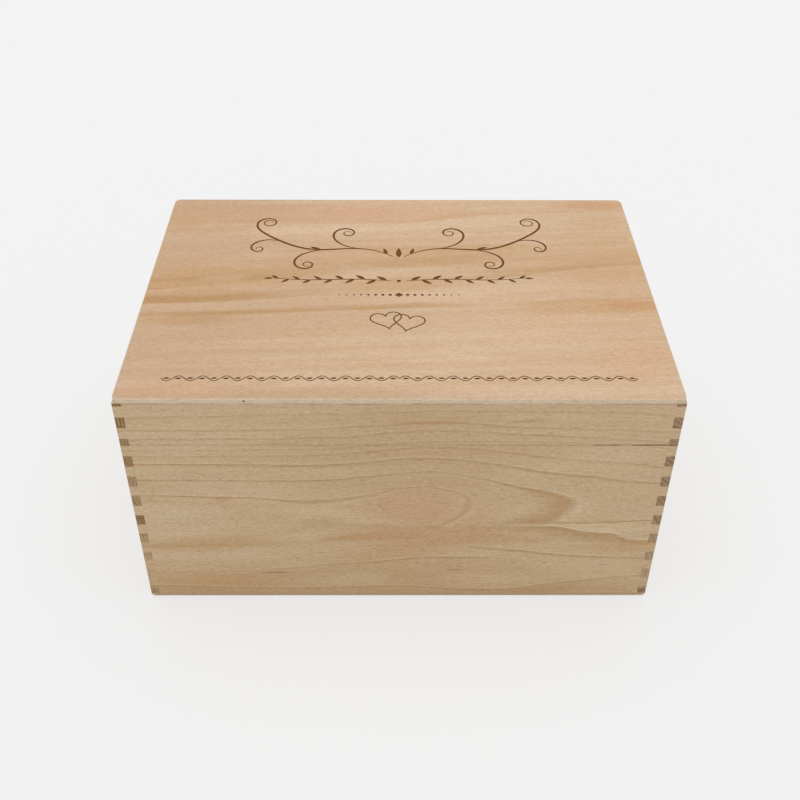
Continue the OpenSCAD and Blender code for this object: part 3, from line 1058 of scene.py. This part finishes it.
def hearts():
    """Two linked hearts that lean apart, with their tips towards each other."""
    middle_x, middle_y = -1, -42
    half_gap = 7.4
    half_step = 1.4
    width = 21
    tilt = 11
    lines = []
    for way in (-1, 1):
        centre = (middle_x + half_gap * way, middle_y - half_step * way)
        for side in (-1, 1):
            lines.append(heart_side(side, centre, width, -tilt * way))
    return [ribbon(line, middle=0.95, end=0.85) for line in lines]


def vine():
    """Running vine along the front edge, with a leaf in each bend."""
    level = -104.5
    rise = 2.4
    half_wave = 7.4
    bends = 20
    steps = 12
    line = []
    for i in range(steps * bends + 1):
        line.append((i / steps * half_wave, level + rise * math.sin(math.pi * i / steps)))
    half = [ribbon(line, middle=0.7, end=0.7)]
    for k in range(bends):
        up = 1 if k % 2 == 0 else -1
        half.append(leaf((k * half_wave + 1.9, level - 0.3 * up), heading=4 * up, length=4.4, width=1.7))
    return mirrored(half)


# Panels

def rounded_rectangle(width, depth, radius):
    points = []
    for k, (sx, sy) in enumerate(((1, 1), (-1, 1), (-1, -1), (1, -1))):
        for i in range(CORNER_STEPS + 1):
            turn = math.pi / 2 * (k + i / CORNER_STEPS)
            points.append((sx * (width / 2 - radius) + radius * math.cos(turn),
                           sy * (depth / 2 - radius) + radius * math.sin(turn)))
    return points


def panel_size(node):
    """Width, depth, top and bottom of a panel of the frame, in mm."""
    low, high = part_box(node)
    return (high.x - low.x) / MM, (high.y - low.y) / MM, high.z / MM, low.z / MM


def wrap(verts, polygons, ring, next_outline, level):
    """A band of faces from one ring of points down to the next one, which it gives back."""
    next_ring = list(range(len(verts), len(verts) + len(next_outline)))
    verts += [(x, y, level) for x, y in next_outline]
    for i in range(len(ring)):
        j = (i + 1) % len(ring)
        polygons.append([ring[i], next_ring[i], next_ring[j], ring[j]])
    return next_ring


def new_panel(name, verts, polygons, body, node):
    """A panel that rides on a body in place of a node of the frame: gives back its mesh."""
    mesh = bpy.data.meshes.new(name)
    mesh.from_pydata([Vector(v) * MM for v in verts], [], polygons)
    mesh.shade_smooth()
    mesh.set_sharp_from_angle(angle=math.radians(CRISP_ANGLE))
    panel = bpy.data.objects.new(name, mesh)
    bpy.context.collection.objects.link(panel)
    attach(panel, body)
    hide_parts(node)
    return mesh


def engraved_face(rim, top):
    """The lid's upper face inside its rim, with the ornaments as grooves in it.

    Gives back its points, its faces, whether each face is burnt, and the rim's ring of points.
    """
    spots, loops = [], []
    for outline in [rim] + scrolls() + sprigs() + beads() + hearts() + vine():
        loops.append(list(range(len(spots), len(spots) + len(outline))))
        spots += [Vector(point) for point in outline]
    inside_outlines = 1
    same_spot = 1e-4
    flat, _, faces, sources, _, covers = delaunay_2d_cdt(spots, [], loops, inside_outlines, same_spot)

    # A face that an ornament covers, which is any outline but the first, lies in a groove
    verts = [(p.x, p.y, top) for p in flat] + [(p.x, p.y, top - GROOVE_DEPTH) for p in flat]
    drop = len(flat)
    polygons, burnt = [], []
    edge_sides = {}
    for face, cover in zip(faces, covers):
        in_groove = any(source > 0 for source in cover)
        polygons.append([i + drop for i in face] if in_groove else list(face))
        burnt.append(in_groove)
        for a, b in zip(face, face[1:] + face[:1]):
            edge_sides.setdefault((min(a, b), max(a, b)), []).append((a, b, in_groove))

    # Walls of the grooves, where a face in a groove meets one that isn't
    for sides in edge_sides.values():
        if len(sides) == 2 and sides[0][2] != sides[1][2]:
            a, b, _ = sides[0] if sides[0][2] else sides[1]
            polygons.append([a, b, b + drop, a + drop])
            burnt.append(True)

    place_of = {source: i for i, group in enumerate(sources) for source in group}
    return verts, polygons, burnt, [place_of[i] for i in loops[0]]


def lid_panel():
    """The lid's panel: engraved face, rounded edge, sides and underside."""
    width, depth, top, bottom = panel_size("lid_top_panel")
    inner_r = LID_CORNER_R - EDGE_R
    rim = rounded_rectangle(width - 2 * EDGE_R, depth - 2 * EDGE_R, inner_r)
    verts, polygons, burnt, ring = engraved_face(rim, top)
    for k in range(1, LID_EDGE_STEPS + 1):
        turn = math.pi / 2 * k / LID_EDGE_STEPS
        out = EDGE_R * math.sin(turn)
        inset = 2 * (EDGE_R - out)
        outline = rounded_rectangle(width - inset, depth - inset, inner_r + out)
        ring = wrap(verts, polygons, ring, outline, top - EDGE_R * (1 - math.cos(turn)))
    ring = wrap(verts, polygons, ring, rounded_rectangle(width, depth, LID_CORNER_R), bottom)
    polygons.append(ring[::-1])
    burnt += [False] * (len(polygons) - len(burnt))

    mesh = new_panel("engraved_lid_panel", verts, polygons, "lid", "lid_top_panel")
    mesh.materials.append(lid_beech)
    mesh.materials.append(burnt_engraving)
    mesh.polygons.foreach_set("material_index", [int(flag) for flag in burnt])
    mesh.validate()


def bottom_panel():
    """The case's bottom panel: its corners grow rounder from the walls down to the floor."""
    width, depth, top, bottom = panel_size("bottom_panel")
    seat = rounded_rectangle(width, depth, SEAT_CORNER_R)
    verts = [(x, y, top) for x, y in seat]
    ring = list(range(len(seat)))
    polygons = [ring]
    for k in range(1, FOOT_STEPS + 1):
        turn = math.pi / 2 * k / FOOT_STEPS
        level = top - (top - bottom) * math.sin(turn)
        radius = SEAT_CORNER_R + (FOOT_CORNER_R - SEAT_CORNER_R) * (1 - math.cos(turn))
        rounded = max(0.0, bottom + EDGE_R - level)
        inset = EDGE_R - math.sqrt(max(0.0, EDGE_R ** 2 - rounded ** 2))
        outline = rounded_rectangle(width - 2 * inset, depth - 2 * inset, radius)
        ring = wrap(verts, polygons, ring, outline, level)
    polygons.append(ring[::-1])
    mesh = new_panel("sanded_bottom_panel", verts, polygons, "case", "bottom_panel")
    mesh.materials.append(base_beech)


lid_panel()
bottom_panel()


# Finishes of the other pieces

def dress(material, *names):
    for name in names:
        mesh = nodes[name].data
        mesh.materials.clear()
        mesh.materials.append(material)


def soften(width, *names):
    """Breaks the sharp edges of stamped or turned pieces, and lets them wear bright."""
    for name in names:
        seams = nodes[name].modifiers.new("joined_faces", "WELD")
        seams.merge_threshold = JOINED_GAP * MM
        edge = nodes[name].modifiers.new("broken_edges", "BEVEL")
        edge.width = width * MM
        edge.segments = 2
        edge.limit_method = "ANGLE"
        edge.angle_limit = math.radians(BROKEN_ANGLE)
        edge.harden_normals = True
        materials = nodes[name].data.materials
        materials.append(worn_brass)
        edge.material = len(materials) - 1


dress(front_beech, "front_wall", "lid_front_rail")
dress(back_beech, "back_wall", "lid_back_rail")
dress(left_beech, "left_wall", "lid_left_rail")
dress(right_beech, "right_wall", "lid_right_rail")
for hand in ("left", "right"):
    leaves = (f"{hand}_hinge_lid_leaf", f"{hand}_hinge_case_leaf")
    screws = (f"{hand}_hinge_lid_screws", f"{hand}_hinge_case_screws")
    dress(leaf_brass, *leaves)
    dress(screw_brass, *screws)
    dress(pin_steel, f"{hand}_hinge_pin")
    soften(LEAF_EDGE, *leaves)
    soften(SCREW_EDGE, *screws)


# Floor, light and camera

def seen_directly(w):
    """1 for rays that show the backdrop as a picture, 0 for rays that carry its light."""
    path = w.add("ShaderNodeLightPath").outputs
    seen = w.calc("MAXIMUM", path["Is Camera Ray"], path["Is Glossy Ray"])
    return w.calc("MAXIMUM", seen, path["Is Transmission Ray"])


def floor():
    """Pale floor, of which the picture shows the plain colour with a faint shadow."""
    material, w = new_material("pale_floor")
    paint = w.add("ShaderNodeBsdfDiffuse", {"Color": srgb(*BACKDROP)}).outputs[0]
    glow = w.add("ShaderNodeEmission", {"Color": srgb(*BACKDROP)}).outputs[0]
    picture = w.add("ShaderNodeMixShader", {0: FLOOR_SHADOW, 1: glow, 2: paint}).outputs[0]
    surface = w.add("ShaderNodeMixShader", {0: seen_directly(w), 1: paint, 2: picture}).outputs[0]
    w.add("ShaderNodeOutputMaterial", {"Surface": surface})
    turns = ((-1, -1), (1, -1), (1, 1), (-1, 1))
    corners = [(sx * FLOOR_HALF, sy * FLOOR_HALF, FLOOR_LEVEL) for sx, sy in turns]
    mesh = bpy.data.meshes.new("floor")
    mesh.from_pydata(corners, [], [(0, 1, 2, 3)])
    mesh.materials.append(material)
    ground = bpy.data.objects.new("floor", mesh)
    bpy.context.collection.objects.link(ground)


def sky():
    """Even white light from all round, with the backdrop's colour as its picture."""
    world = bpy.data.worlds.new("studio_sky")
    world.use_nodes = True
    world.node_tree.nodes.clear()
    w = Wiring(world.node_tree)
    white = (1.0, 1.0, 1.0, 1.0)
    light = w.add("ShaderNodeBackground", {"Color": white, "Strength": SKY_LEVEL}).outputs[0]
    picture = w.add("ShaderNodeBackground", {"Color": srgb(*BACKDROP), "Strength": 1.0}).outputs[0]
    surface = w.add("ShaderNodeMixShader", {0: seen_directly(w), 1: light, 2: picture}).outputs[0]
    w.add("ShaderNodeOutputWorld", {"Surface": surface})
    bpy.context.scene.world = world


def lamp():
    light = bpy.data.lights.new("soft_lamp", "SUN")
    light.energy = LAMP_LEVEL
    light.angle = math.radians(LAMP_SPREAD)
    soft_lamp = bpy.data.objects.new("soft_lamp", light)
    soft_lamp.rotation_euler = (math.radians(90 - LAMP_HEIGHT), 0.0, 0.0)
    bpy.context.collection.objects.link(soft_lamp)


def camera():
    pitch, yaw, roll = (math.radians(a) for a in (CAMERA_PITCH, CAMERA_YAW, CAMERA_ROLL))
    ahead = Vector((math.sin(yaw) * math.cos(pitch), math.cos(yaw) * math.cos(pitch), -math.sin(pitch)))
    level = ahead.cross(Vector((0, 0, 1))).normalized()
    upright = level.cross(ahead)
    right = level * math.cos(roll) + upright * math.sin(roll)
    up = upright * math.cos(roll) - level * math.sin(roll)
    turned = Matrix((right, up, -ahead)).transposed().to_4x4()
    data = bpy.data.cameras.new("camera")
    data.sensor_width = CAMERA_SENSOR
    data.lens = CAMERA_LENS
    view = bpy.data.objects.new("camera", data)
    view.matrix_world = Matrix.Translation(CAMERA_PLACE) @ turned
    bpy.context.collection.objects.link(view)
    bpy.context.scene.camera = view


floor()
sky()
lamp()
camera()
bpy.context.scene.view_settings.view_transform = "Standard"
